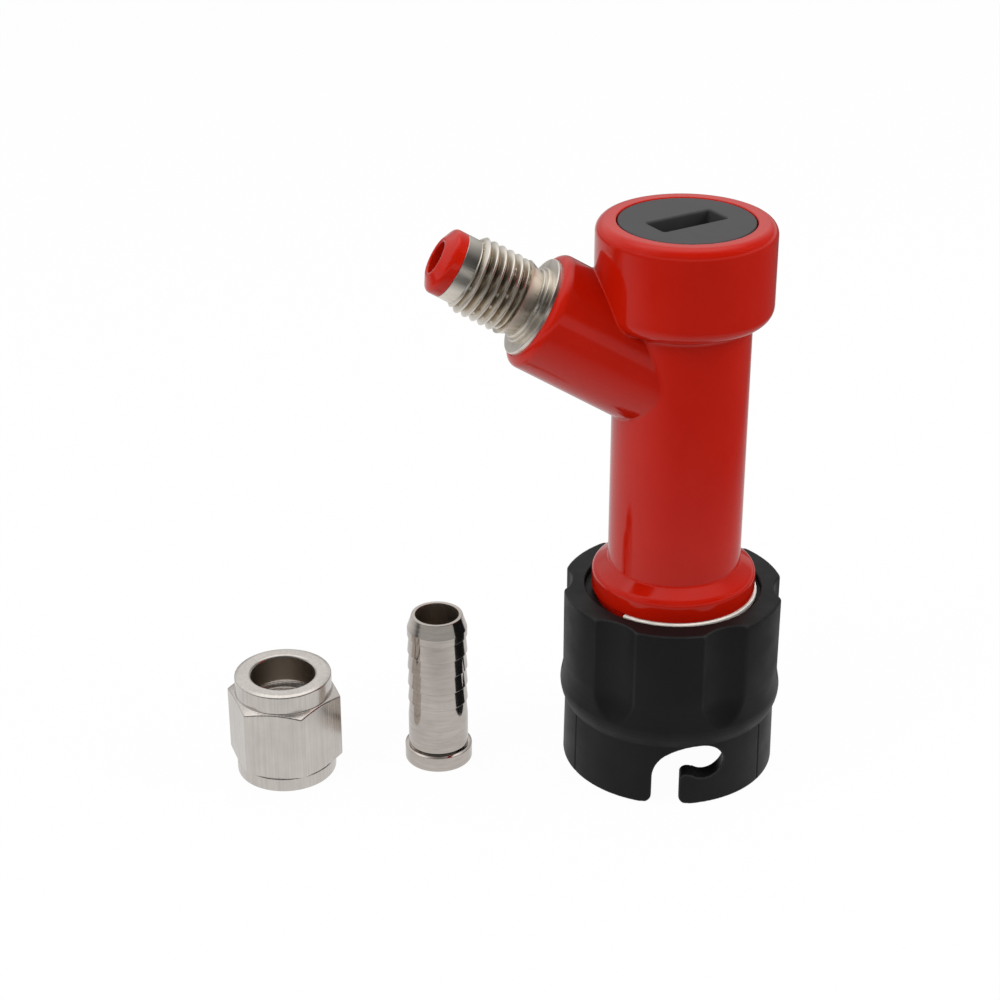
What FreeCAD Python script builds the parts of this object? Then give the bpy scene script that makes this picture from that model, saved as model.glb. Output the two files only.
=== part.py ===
"""Pin-lock keg disconnect for liquid, with its swivel nut and barbed hose tail standing beside it.

Frame: millimetres, +Z up, origin at the centre of the locking collar's standing face.
The outlet arm points towards -X and rises. Every physical piece is a solid of its own.
"""
import FreeCAD, Part
import math
import os
import re
import Sketcher

# Each line: name, value (mm or degrees), meaning. Everything below is worked out from these.
DIMENSIONS = (
    # Body: a column with a round head on top and a conical shoulder at its foot
    ("body_top", 84.0, "top of the head above the standing face"),
    ("column_radius", 9.6, "outside of the column"),
    ("head_radius", 12.45, "outside of the head"),
    ("head_height", 13.8, "head, from its underside to its top"),
    ("head_top_round", 1.6, "round of the head's top edge"),
    ("head_foot_round", 2.2, "round of the head's lower edge"),
    ("shoulder_radius", 11.9, "shoulder that stands out of the collar"),
    ("shoulder_stand", 2.9, "top of the shoulder's wall above the collar"),
    ("shoulder_edge", 0.4, "chamfer of the shoulder's edge"),
    ("cone_height", 1.5, "cone from the shoulder up to the column"),
    # Body: bores
    ("post_bore_radius", 8.1, "bore that the keg post seals in"),
    ("post_bore_rise", 7.2, "how far the post bore goes on above the shoulder's wall"),
    ("seat_web", 2.6, "wall between post bore and valve chamber"),
    ("seat_hole_radius", 3.9, "hole in that wall"),
    ("chamber_radius", 6.2, "valve chamber"),
    ("spigot_radius", 9.9, "joint of body and post socket"),
    # Outlet arm, measured along its own axis from the column's axis
    ("arm_height", 60.1, "height at which the arm's axis meets the column's axis"),
    ("arm_rise", 30.5, "angle of the arm above the horizontal"),
    ("arm_radius", 8.45, "outside of the arm"),
    ("arm_length", 24.0, "end face of the arm"),
    ("arm_rim_round", 1.3, "round of the arm's end"),
    ("arm_bore_radius", 2.3, "liquid way through arm and nozzle"),
    ("liner_radius", 3.7, "plastic liner inside the metal sleeve"),
    ("flare_radius", 4.7, "plastic flare seat at the tip"),
    ("flare_land", 1.7, "straight part of the flare seat"),
    ("flare_cone", 0.95, "length of the cone at the tip"),
    ("tip_radius", 2.9, "outside of the tip's end"),
    # Flare sleeve
    ("sleeve_disc_radius", 7.15, "flange against the arm's end"),
    ("sleeve_disc_thickness", 0.9, "thickness of that flange"),
    ("sleeve_disc_stand", 0.6, "how far the flange stands out of the arm"),
    ("sleeve_step_radius", 5.6, "first step after the flange"),
    ("sleeve_step_length", 0.5, "length of each step"),
    ("sleeve_neck_radius", 4.7, "plain neck before and after the thread"),
    ("thread_radius", 5.5, "outside of the 7/16-20 flare thread"),
    ("thread_start", 27.5, "inner end of the thread"),
    ("thread_length", 7.6, "length of the thread"),
    ("thread_chamfer", 0.6, "chamfer at both ends of the thread"),
    ("sleeve_end", 37.0, "outer end of the sleeve"),
    ("sleeve_root_radius", 6.0, "part of the sleeve that is moulded in"),
    ("sleeve_root_length", 6.2, "length of the moulded-in part behind the flange"),
    ("sleeve_groove_depth", 0.8, "keying groove of the moulded-in part"),
    ("sleeve_groove_inset", 1.8, "keying groove, from the inner end"),
    ("sleeve_groove_width", 1.8, "width of the keying groove"),
    # Top cap and its gasket
    ("cap_radius", 9.45, "flange of the cap"),
    ("cap_sink", 0.05, "how far the cap lies below the head's top"),
    ("cap_flange", 2.1, "thickness of the cap's flange"),
    ("cap_edge", 0.25, "chamfer of the cap's edge"),
    ("cap_recess_gap", 0.12, "gap between cap and head"),
    ("cap_plug_radius", 7.9, "threaded plug under the flange"),
    ("cap_thread_gap", 0.1, "clearance of the plug's thread"),
    ("cap_plug_length", 5.4, "length of the plug below the gasket"),
    ("cap_slot_length", 10.6, "coin slot, long way"),
    ("cap_slot_width", 4.3, "coin slot, short way"),
    ("cap_slot_depth", 4.6, "depth of the coin slot"),
    ("cap_slot_turn", 24.7, "angle of the slot from +X"),
    ("gasket_thickness", 1.3, "gasket under the cap's flange"),
    ("gasket_gap", 0.15, "gap around the gasket"),
    ("spring_cup_radius", 5.4, "cup for the spring in the cap"),
    ("spring_cup_depth", 1.6, "depth of that cup"),
    # Plunger, its seal and its spring
    ("pin_reach", 5.4, "how far the plunger's pin reaches into the post bore"),
    ("pin_radius", 2.0, "pin that the keg post pushes"),
    ("pin_nose", 0.5, "chamfer of the pin's nose"),
    ("seal_lip_radius", 3.3, "lip that holds the seal from below"),
    ("seal_lip_height", 0.8, "height of that lip"),
    ("seal_bore_radius", 2.6, "plunger's neck inside the seal"),
    ("seal_radius", 5.5, "outside of the plunger seal"),
    ("seal_thickness", 1.2, "thickness of the plunger seal"),
    ("plunger_head_radius", 5.6, "disc above the seal"),
    ("plunger_head_height", 2.2, "thickness of that disc"),
    ("stem_radius", 2.4, "stem of the plunger"),
    ("guide_height", 1.6, "thickness of the spring flange"),
    ("guide_gap", 0.35, "gap around the spring flange"),
    ("guide_notch_count", 4.0, "notches that let the liquid past it"),
    ("guide_notch_width", 2.4, "width of those notches"),
    ("guide_notch_depth", 1.6, "depth of those notches"),
    ("guide_pin_radius", 2.6, "pin inside the spring"),
    ("guide_pin_length", 4.8, "length of that pin"),
    ("spring_radius", 4.2, "mean radius of the spring"),
    ("spring_wire", 0.45, "half the spring wire's thickness, over its corners"),
    ("spring_turns", 4.0, "turns of the spring"),
    ("spring_length", 10.0, "length of the spring as fitted"),
    # Post socket and its seal
    ("socket_foot", 12.0, "lower end of the socket"),
    ("socket_radius", 10.2, "outside of the socket's tube"),
    ("socket_flange_gap", 0.3, "gap between socket flange and collar"),
    ("socket_flange_height", 3.0, "thickness of the socket's flange"),
    ("socket_lead", 0.8, "chamfer of the socket's mouth"),
    ("socket_seal_height", 1.4, "seal between socket and body"),
    ("socket_seal_bore_gap", 0.2, "how far the seal stays back from the bore"),
    # Locking collar
    ("collar_height", 28.3, "height of the collar"),
    ("skirt_radius", 15.5, "plain lower part of the collar, at its top"),
    ("skirt_foot_radius", 15.65, "the same at its foot"),
    ("skirt_mouth_radius", 12.7, "bore of the skirt, which goes over the keg's boss"),
    ("skirt_mouth_depth", 11.5, "depth of that bore"),
    ("skirt_bore_radius", 12.5, "inside of the collar above it"),
    ("bulge_radius", 16.25, "widest part of the grip"),
    ("bulge_foot", 9.8, "lower end of the grip"),
    ("bulge_height", 2.6, "height over which the grip rounds out"),
    ("bulge_round", 5.0, "curve of that stretch"),
    ("grip_radius", 16.1, "grip above the bulge"),
    ("grip_taper_top", 17.0, "height at which the grip becomes straight"),
    ("grip_taper_round", 30.0, "long curve from the bulge to there"),
    ("collar_edge", 0.25, "chamfers of the collar's rims"),
    ("mouth_radius", 12.85, "recess at the top of the collar"),
    ("mouth_depth", 1.1, "depth of that recess, down to the ledge inside the collar"),
    ("ledge_height", 2.8, "height of the ledge"),
    ("ledge_gap", 0.2, "running gap between ledge and the body's neck"),
    ("collar_play", 0.2, "end play between ledge and socket flange"),
    ("scallop_count", 6.0, "finger scallops around the grip"),
    ("scallop_turn", -72.0, "direction of one scallop"),
    ("scallop_radius", 6.2, "hollow of a scallop"),
    ("scallop_depth", 1.35, "depth of a scallop in the grip"),
    ("scallop_centre_height", 16.9, "height at which the scallop's end begins"),
    # Bayonet slots, drawn as seen from outside with the entry's middle at zero across
    ("slot_count", 3.0, "bayonet slots around the skirt"),
    ("slot_turn", -12.0, "turn of the first slot from the -Y direction"),
    ("slot_width", 3.95, "width of the entry"),
    ("slot_mouth_round", 1.4, "round of the entry's lower corners"),
    ("slot_lead_up", 4.3, "height at which the entry begins to turn"),
    ("slot_turn_round", 4.9, "round of that turn"),
    ("slot_ramp_across", -0.2, "start of the ramp, across"),
    ("slot_ramp_up", 8.05, "start of the ramp, height"),
    ("slot_ramp_round", 8.0, "curve of the ramp"),
    ("slot_crest_across", 5.0, "end of the ramp, across"),
    ("slot_crest_up", 9.6, "end of the ramp, height"),
    ("slot_crest_round", 3.3, "round behind the ramp"),
    ("slot_pocket_across", 5.6, "middle of the pin's pocket, across"),
    ("slot_pocket_up", 6.85, "middle of the pin's pocket, height"),
    ("slot_pocket_radius", 2.65, "radius of the pin's pocket"),
    ("slot_hook_across", 3.95, "inner side of the hook, across"),
    ("slot_nose_up", 5.0, "top of the hook's nose"),
    ("slot_nose_width", 1.2, "width of the hook's nose"),
    ("slot_nose_round", 1.0, "round of the hook's nose"),
    # Split ring between the shoulder's underside and the collar's ledge
    ("ring_radius", 12.2, "outside of the ring"),
    ("ring_thickness", 0.8, "thickness of the ring"),
    ("ring_seat", 0.6, "how far the body's neck steps in under the shoulder"),
    ("ring_play", 0.1, "gap between ring and ledge"),
    ("ring_opening", 75.0, "angle of the ring's gap"),
    ("ring_turn", -136.8, "direction of the ring's visible end"),
    # Swivel nut
    ("nut_x", -57.3, "place of the nut's axis"),
    ("nut_y", 1.9, "place of the nut's axis"),
    ("nut_height", 16.1, "height of the nut"),
    ("nut_flats", 14.8, "width across flats"),
    ("nut_turn", 15.4, "turn of the hexagon"),
    ("nut_top_radius", 7.1, "round part at the tail end"),
    ("nut_top_height", 2.9, "height of that part"),
    ("nut_foot_radius", 7.33, "round part at the thread end"),
    ("nut_foot_height", 2.3, "height of that part"),
    ("nut_chamfer_rise", 0.55, "rise of the hexagon's chamfer"),
    ("nut_edge", 0.3, "chamfers of the nut's rims"),
    ("nut_bore_radius", 4.68, "hole that the hose tail passes through"),
    ("nut_thread_radius", 5.1, "minor radius of the nut's thread"),
    ("nut_thread_depth", 11.6, "depth of the thread from the foot"),
    ("nut_seat_rise", 0.42, "cone between thread and hole"),
    # Barbed hose tail
    ("tail_x", -34.5, "place of the tail's axis"),
    ("tail_y", 2.0, "place of the tail's axis"),
    ("tail_height", 24.3, "height of the hose tail"),
    ("tail_bore_radius", 3.19, "bore of the tail"),
    ("tail_shank_radius", 4.43, "shank, and crests of the barbs"),
    ("tail_root_radius", 4.2, "roots of the barbs"),
    ("tail_flange_radius", 5.0, "flange that the nut pulls on"),
    ("tail_flange_height", 2.5, "height of that flange"),
    ("tail_flange_edge", 0.35, "chamfers of that flange"),
    ("tail_groove", 0.3, "relief beside the flange"),
    ("tail_flare_radius", 4.35, "mouth of the flare seat in the tail's foot"),
    ("tail_first_ledge", 21.05, "ledge of the top barb"),
    ("tail_barb_pitch", 2.69, "distance between ledges"),
    ("tail_barb_count", 5.0, "barbs"),
    ("tail_barb_ledge", 0.2, "slope of a ledge"),
    ("tail_last_root", 10.1, "where the last barb runs into the shank"),
    ("tail_shank_top", 7.4, "top of the plain shank"),
    ("tail_nose_radius", 3.7, "outside of the tail's tip"),
    ("tail_nose_height", 2.1, "cone of the tip"),
    # How far each cut runs on past the surface that it opens
    ("cut_overrun", 1.0, "overrun of cuts"),
)
NAMES = {name for name, value, meaning in DIMENSIONS}

doc = FreeCAD.newDocument("keg_disconnect")
sheet = doc.addObject("Spreadsheet::Sheet", "dims")
for row, (name, value, meaning) in enumerate(DIMENSIONS, start=1):
    sheet.set(f"A{row}", meaning)
    sheet.set(f"B{row}", str(value))
    sheet.setAlias(f"B{row}", name)
doc.recompute()


def formula(text):
    """A formula of plain dimension names, as an expression that reads the sheet."""
    return re.sub(r"[a-z][a-z_]*", lambda word: f"dims.{word[0]}" if word[0] in NAMES else word[0], text)


def number(text):
    """The present value of a formula."""
    return float(sheet.evalExpression(formula(text)))


def origin_plane(body, role):
    return next(item for item in body.Origin.OriginFeatures if item.Role == role)


def new_body(label, at_x=None, at_y=None):
    """A part body, standing at a place of its own where one is given."""
    body = doc.addObject("PartDesign::Body", label)
    body.Label = label
    if at_x:
        body.setExpression("Placement.Base.x", formula(at_x))
        body.setExpression("Placement.Base.y", formula(at_y))
    return body


def new_sketch(body, name, role="XZ_Plane", lift=None, turn=None, about=FreeCAD.Vector(0, 0, 1)):
    """A sketch on one of the body's own planes, raised by lift and turned about a local axis."""
    sketch = body.newObject("Sketcher::SketchObject", name)
    sketch.AttachmentSupport = [(origin_plane(body, role), "")]
    sketch.MapMode = "FlatFace"
    if turn:
        start = FreeCAD.Rotation(about, number(turn))
        sketch.AttachmentOffset = FreeCAD.Placement(FreeCAD.Vector(), start)
        sketch.setExpression("AttachmentOffset.Rotation.Angle", formula(turn))
    if lift:
        sketch.setExpression("AttachmentOffset.Base.y", formula(lift))
    return sketch


def arc_between(start, end, radius, side):
    """The short arc from start to end; its centre lies on the named side of the way there."""
    chord = end - start
    reach = math.sqrt(radius ** 2 - (chord.Length / 2) ** 2)
    leftward = FreeCAD.Vector(-chord.y, chord.x, 0).normalize()
    centre = start + chord * 0.5 + leftward * (reach if side == "left" else -reach)
    first, last = (start, end) if side == "left" else (end, start)
    angles = [math.atan2(point.y - centre.y, point.x - centre.x) for point in (first, last)]
    if angles[1] < angles[0]:
        angles[1] += 2 * math.pi
    circle = Part.Circle(centre, FreeCAD.Vector(0, 0, 1), radius)
    return Part.ArcOfCircle(circle, *angles)


def pin_corner(sketch, edge, end, corner, tag):
    """Ties one end of an edge to the formulas of its corner."""
    for letter, text, axis in (("x", corner[0], -2), ("y", corner[1], -1)):
        if text == "0":
            sketch.addConstraint(Sketcher.Constraint("PointOnObject", edge, end, axis))
            continue
        kind = "DistanceX" if letter == "x" else "DistanceY"
        index = sketch.addConstraint(Sketcher.Constraint(kind, -1, 1, edge, end, number(text)))
        sketch.renameConstraint(index, letter + tag)
        sketch.setExpression(f"Constraints.{letter}{tag}", formula(text))


def draw_outline(sketch, corners):
    """A closed outline. A corner is (across, up), or (across, up, side, radius) before an arc."""
    points = [FreeCAD.Vector(number(corner[0]), number(corner[1]), 0) for corner in corners]
    first_edge = sketch.GeometryCount
    starts, ends = [], []
    for place, corner in enumerate(corners):
        start, end = points[place], points[(place + 1) % len(points)]
        if len(corner) == 2:
            edge = sketch.addGeometry(Part.LineSegment(start, end), False)
            starts.append((edge, 1))
            ends.append((edge, 2))
            continue
        side, radius = corner[2:]
        edge = sketch.addGeometry(arc_between(start, end, number(radius), side), False)
        index = sketch.addConstraint(Sketcher.Constraint("Radius", edge, number(radius)))
        sketch.renameConstraint(index, f"r{edge}")
        sketch.setExpression(f"Constraints.r{edge}", formula(radius))
        starts.append((edge, 1 if side == "left" else 2))
        ends.append((edge, 2 if side == "left" else 1))
    for place, corner in enumerate(corners):
        sketch.addConstraint(Sketcher.Constraint("Coincident", *ends[place - 1], *starts[place]))
        pin_corner(sketch, *starts[place], corner, str(first_edge + place))


def spin(body, kind, name, sketch, axis="V_Axis", angle=None):
    """Turns a sketch about one of its lines: a Revolution adds, a Groove cuts."""
    feature = body.newObject(f"PartDesign::{kind}", name)
    feature.Profile = sketch
    feature.ReferenceAxis = (sketch, [axis])
    feature.Angle = 360
    if angle:
        feature.setExpression("Angle", formula(angle))
    return feature


def lathe(label, corners, **place):
    """A whole turned piece from one outline (radius, height)."""
    body = new_body(label, **place)
    sketch = new_sketch(body, f"{label}_outline")
    draw_outline(sketch, corners)
    spin(body, "Revolution", f"{label}_turned", sketch)
    return body


def repeat_around(body, name, feature, sketch, count, axis="V_Axis"):
    """Copies a cut around one of the sketch's lines."""
    pattern = body.newObject("PartDesign::PolarPattern", name)
    pattern.Originals = [feature]
    pattern.Axis = (sketch, [axis])
    pattern.Angle = 360
    pattern.setExpression("Occurrences", formula(count))
    body.Tip = pattern
    return pattern


# Heights and radii that several pieces share
SHOULDER_TOP = "(collar_height + shoulder_stand)"
LEDGE_TOP = "(collar_height - mouth_depth)"
SOCKET_FLANGE_TOP = f"({LEDGE_TOP} - ledge_height - collar_play)"
RING_FOOT = f"({LEDGE_TOP} + ring_play)"
RING_TOP = f"({RING_FOOT} + ring_thickness)"
NECK_RADIUS = "(shoulder_radius - ring_seat)"
SPIGOT_TOP = f"({SHOULDER_TOP} - socket_seal_height)"
POST_STOP = f"({SHOULDER_TOP} + post_bore_rise)"
SEAT_FACE = f"({POST_STOP} + seat_web)"
CAP_TOP = "(body_top - cap_sink)"
CAP_SEAT = f"({CAP_TOP} - cap_flange)"
RECESS_FLOOR = f"({CAP_SEAT} - gasket_thickness)"
PLUG_FOOT = f"({RECESS_FLOOR} - cap_plug_length)"
THREAD_END = "(thread_start + thread_length)"
DISC_SEAT = "(arm_length + sleeve_disc_stand - sleeve_disc_thickness)"
ROOT_START = f"({DISC_SEAT} - sleeve_root_length)"
GROOVE_START = f"({ROOT_START} + sleeve_groove_inset)"
GROOVE_END = f"({GROOVE_START} + sleeve_groove_width)"
GROOVE_FLOOR = "(sleeve_root_radius - sleeve_groove_depth)"
SPRING_TOP = f"({PLUG_FOOT} + spring_cup_depth)"
SPRING_FOOT = f"({SPRING_TOP} - spring_length)"
GUIDE_FOOT = f"({SPRING_FOOT} - guide_height)"
WIRE_HALF_HEIGHT = "(spring_wire * sqrt(3) / 2)"
BEYOND = "cut_overrun"
HEXAGON_SIDES = "6"

# Moulded-in root of the flare sleeve, along the arm's axis: the sleeve has it, the body's pocket follows it
SLEEVE_ROOT = (
    (ROOT_START, "liner_radius"),
    (ROOT_START, "sleeve_root_radius"),
    (GROOVE_START, "sleeve_root_radius"),
    (GROOVE_START, GROOVE_FLOOR),
    (GROOVE_END, GROOVE_FLOOR),
    (GROOVE_END, "sleeve_root_radius"),
    (DISC_SEAT, "sleeve_root_radius"),
)


def build_body():
    """The red moulding: column, head, shoulder and outlet arm with the flare seat at its tip."""
    body = new_body("valve_body")
    outer = new_sketch(body, "column_outline")
    draw_outline(outer, (
        ("0", SOCKET_FLANGE_TOP),
        (NECK_RADIUS, SOCKET_FLANGE_TOP),
        (NECK_RADIUS, RING_TOP),
        ("shoulder_radius", RING_TOP),
        ("shoulder_radius", f"{SHOULDER_TOP} - shoulder_edge"),
        ("shoulder_radius - shoulder_edge", SHOULDER_TOP),
        ("column_radius", f"{SHOULDER_TOP} + cone_height"),
        ("column_radius", "body_top - head_height"),
        ("head_radius - head_foot_round", "body_top - head_height", "left", "head_foot_round"),
        ("head_radius", "body_top - head_height + head_foot_round"),
        ("head_radius", "body_top - head_top_round", "left", "head_top_round"),
        ("head_radius - head_top_round", "body_top"),
        ("0", "body_top"),
    ))
    spin(body, "Revolution", "column_and_head", outer)

    arm = new_sketch(body, "arm_outline", lift="arm_height", turn="180 - arm_rise")
    flare_start = "sleeve_end + flare_land"
    draw_outline(arm, (
        ("0", "0"),
        ("0", "arm_radius"),
        ("arm_length - arm_rim_round", "arm_radius", "right", "arm_rim_round"),
        ("arm_length", "arm_radius - arm_rim_round"),
        ("arm_length", "liner_radius"),
        ("sleeve_end", "liner_radius"),
        ("sleeve_end", "flare_radius"),
        (flare_start, "flare_radius"),
        (f"{flare_start} + flare_cone", "tip_radius"),
        (f"{flare_start} + flare_cone", "0"),
    ))
    spin(body, "Revolution", "arm_and_nozzle", arm, axis="H_Axis")

    seat = new_sketch(body, "sleeve_seat_outline", lift="arm_height", turn="180 - arm_rise")
    draw_outline(seat, (
        *SLEEVE_ROOT,
        (DISC_SEAT, "arm_radius - arm_rim_round"),
        (f"arm_length + {BEYOND}", "arm_radius - arm_rim_round"),
        (f"arm_length + {BEYOND}", "liner_radius"),
    ))
    spin(body, "Groove", "sleeve_seat", seat, axis="H_Axis")

    bores = new_sketch(body, "bore_outline")
    recess_radius = "cap_radius + cap_recess_gap"
    draw_outline(bores, (
        ("0", f"{SOCKET_FLANGE_TOP} - {BEYOND}"),
        ("spigot_radius", f"{SOCKET_FLANGE_TOP} - {BEYOND}"),
        ("spigot_radius", SHOULDER_TOP),
        ("post_bore_radius", SHOULDER_TOP),
        ("post_bore_radius", POST_STOP),
        ("seat_hole_radius", POST_STOP),
        ("seat_hole_radius", SEAT_FACE),
        ("chamber_radius", SEAT_FACE),
        ("chamber_radius", f"{PLUG_FOOT} - {BEYOND}"),
        ("cap_plug_radius + cap_thread_gap", f"{PLUG_FOOT} - {BEYOND}"),
        ("cap_plug_radius + cap_thread_gap", RECESS_FLOOR),
        (recess_radius, RECESS_FLOOR),
        (recess_radius, "body_top - cap_edge"),
        (f"{recess_radius} + cap_edge", "body_top"),
        (f"{recess_radius} + cap_edge", f"body_top + {BEYOND}"),
        ("0", f"body_top + {BEYOND}"),
    ))
    spin(body, "Groove", "valve_bores", bores)

    way = new_sketch(body, "outlet_outline", lift="arm_height", turn="180 - arm_rise")
    draw_outline(way, (
        ("0", "0"),
        ("0", "arm_bore_radius"),
        (f"{flare_start} + flare_cone + {BEYOND}", "arm_bore_radius"),
        (f"{flare_start} + flare_cone + {BEYOND}", "0"),
    ))
    spin(body, "Groove", "outlet_way", way, axis="H_Axis")
    return body


def build_sleeve():
    """The metal sleeve that the arm is moulded around; it carries the flare thread."""
    body = new_body("flare_sleeve")
    sketch = new_sketch(body, "sleeve_outline", lift="arm_height", turn="180 - arm_rise")
    disc_face = "arm_length + sleeve_disc_stand"
    second_step = "(sleeve_step_radius + sleeve_neck_radius) / 2"
    draw_outline(sketch, (
        *SLEEVE_ROOT,
        (DISC_SEAT, "sleeve_disc_radius"),
        (disc_face, "sleeve_disc_radius"),
        (disc_face, "sleeve_step_radius"),
        (f"{disc_face} + sleeve_step_length", "sleeve_step_radius"),
        (f"{disc_face} + sleeve_step_length", second_step),
        (f"{disc_face} + 2 * sleeve_step_length", second_step),
        (f"{disc_face} + 2 * sleeve_step_length", "sleeve_neck_radius"),
        ("thread_start", "sleeve_neck_radius"),
        ("thread_start", "thread_radius - thread_chamfer"),
        ("thread_start + thread_chamfer", "thread_radius"),
        (f"{THREAD_END} - thread_chamfer", "thread_radius"),
        (THREAD_END, "thread_radius - thread_chamfer"),
        (THREAD_END, "sleeve_neck_radius"),
        ("sleeve_end", "sleeve_neck_radius"),
        ("sleeve_end", "liner_radius"),
    ))
    spin(body, "Revolution", "sleeve_turned", sketch, axis="H_Axis")
    return body


def build_cap():
    """The slotted screw cap that closes the valve chamber and carries the spring."""
    body = lathe("top_cap", (
        ("0", SPRING_TOP),
        ("spring_cup_radius", SPRING_TOP),
        ("spring_cup_radius", PLUG_FOOT),
        ("cap_plug_radius", PLUG_FOOT),
        ("cap_plug_radius", CAP_SEAT),
        ("cap_radius", CAP_SEAT),
        ("cap_radius", f"{CAP_TOP} - cap_edge"),
        ("cap_radius - cap_edge", CAP_TOP),
        ("0", CAP_TOP),
    ))
    slot = new_sketch(body, "slot_outline", role="XY_Plane", turn="cap_slot_turn")
    slot.setExpression("AttachmentOffset.Base.z", formula(CAP_TOP))
    draw_outline(slot, (
        ("-cap_slot_length / 2", "-cap_slot_width / 2"),
        ("cap_slot_length / 2", "-cap_slot_width / 2"),
        ("cap_slot_length / 2", "cap_slot_width / 2"),
        ("-cap_slot_length / 2", "cap_slot_width / 2"),
    ))
    cut = body.newObject("PartDesign::Pocket", "coin_slot")
    cut.Profile = slot
    cut.setExpression("Length", formula("cap_slot_depth"))
    return body


def build_plunger():
    """The sprung plunger: a pin below the seat, the valve disc above it, a spring flange on top."""
    pin_tip = f"({POST_STOP} - pin_reach)"
    head_foot = f"{SEAT_FACE} + seal_thickness"
    head_top = f"{head_foot} + plunger_head_height"
    body = lathe("plunger", (
        ("0", pin_tip),
        ("pin_radius - pin_nose", pin_tip),
        ("pin_radius", f"{pin_tip} + pin_nose"),
        ("pin_radius", f"{SEAT_FACE} - seal_lip_height"),
        ("seal_lip_radius", f"{SEAT_FACE} - seal_lip_height"),
        ("seal_lip_radius", SEAT_FACE),
        ("seal_bore_radius", SEAT_FACE),
        ("seal_bore_radius", head_foot),
        ("plunger_head_radius", head_foot),
        ("plunger_head_radius", head_top),
        ("stem_radius", head_top),
        ("stem_radius", GUIDE_FOOT),
        ("chamber_radius - guide_gap", GUIDE_FOOT),
        ("chamber_radius - guide_gap", SPRING_FOOT),
        ("guide_pin_radius", SPRING_FOOT),
        ("guide_pin_radius", f"{SPRING_FOOT} + guide_pin_length"),
        ("0", f"{SPRING_FOOT} + guide_pin_length"),
    ))
    notch = new_sketch(body, "notch_outline")
    outer = f"chamber_radius + {BEYOND}"
    inner = "chamber_radius - guide_gap - guide_notch_depth"
    draw_outline(notch, (
        (inner, f"{GUIDE_FOOT} - {BEYOND}"),
        (outer, f"{GUIDE_FOOT} - {BEYOND}"),
        (outer, f"{SPRING_FOOT} + {BEYOND}"),
        (inner, f"{SPRING_FOOT} + {BEYOND}"),
    ))
    cut = body.newObject("PartDesign::Pocket", "guide_notch")
    cut.Profile = notch
    cut.Midplane = True
    cut.setExpression("Length", formula("guide_notch_width"))
    repeat_around(body, "guide_notches", cut, notch, "guide_notch_count")
    return body


def build_spring():
    """The compression spring between the plunger's flange and the cap; its wire has six flat sides."""
    body = new_body("plunger_spring")
    sketch = new_sketch(body, "wire_outline")
    middle = f"{SPRING_FOOT} + {WIRE_HALF_HEIGHT}"
    draw_outline(sketch, (
        ("spring_radius - spring_wire", middle),
        ("spring_radius - spring_wire / 2", f"{middle} - {WIRE_HALF_HEIGHT}"),
        ("spring_radius + spring_wire / 2", f"{middle} - {WIRE_HALF_HEIGHT}"),
        ("spring_radius + spring_wire", middle),
        ("spring_radius + spring_wire / 2", f"{middle} + {WIRE_HALF_HEIGHT}"),
        ("spring_radius - spring_wire / 2", f"{middle} + {WIRE_HALF_HEIGHT}"),
    ))
    coil = body.newObject("PartDesign::AdditiveHelix", "coil")
    coil.Profile = sketch
    coil.ReferenceAxis = (sketch, ["V_Axis"])
    coil.Mode = 0
    rise = f"({SPRING_TOP} - {SPRING_FOOT} - 2 * {WIRE_HALF_HEIGHT})"
    coil.setExpression("Height", formula(rise))
    coil.setExpression("Pitch", formula(f"{rise} / spring_turns"))
    return body


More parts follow.
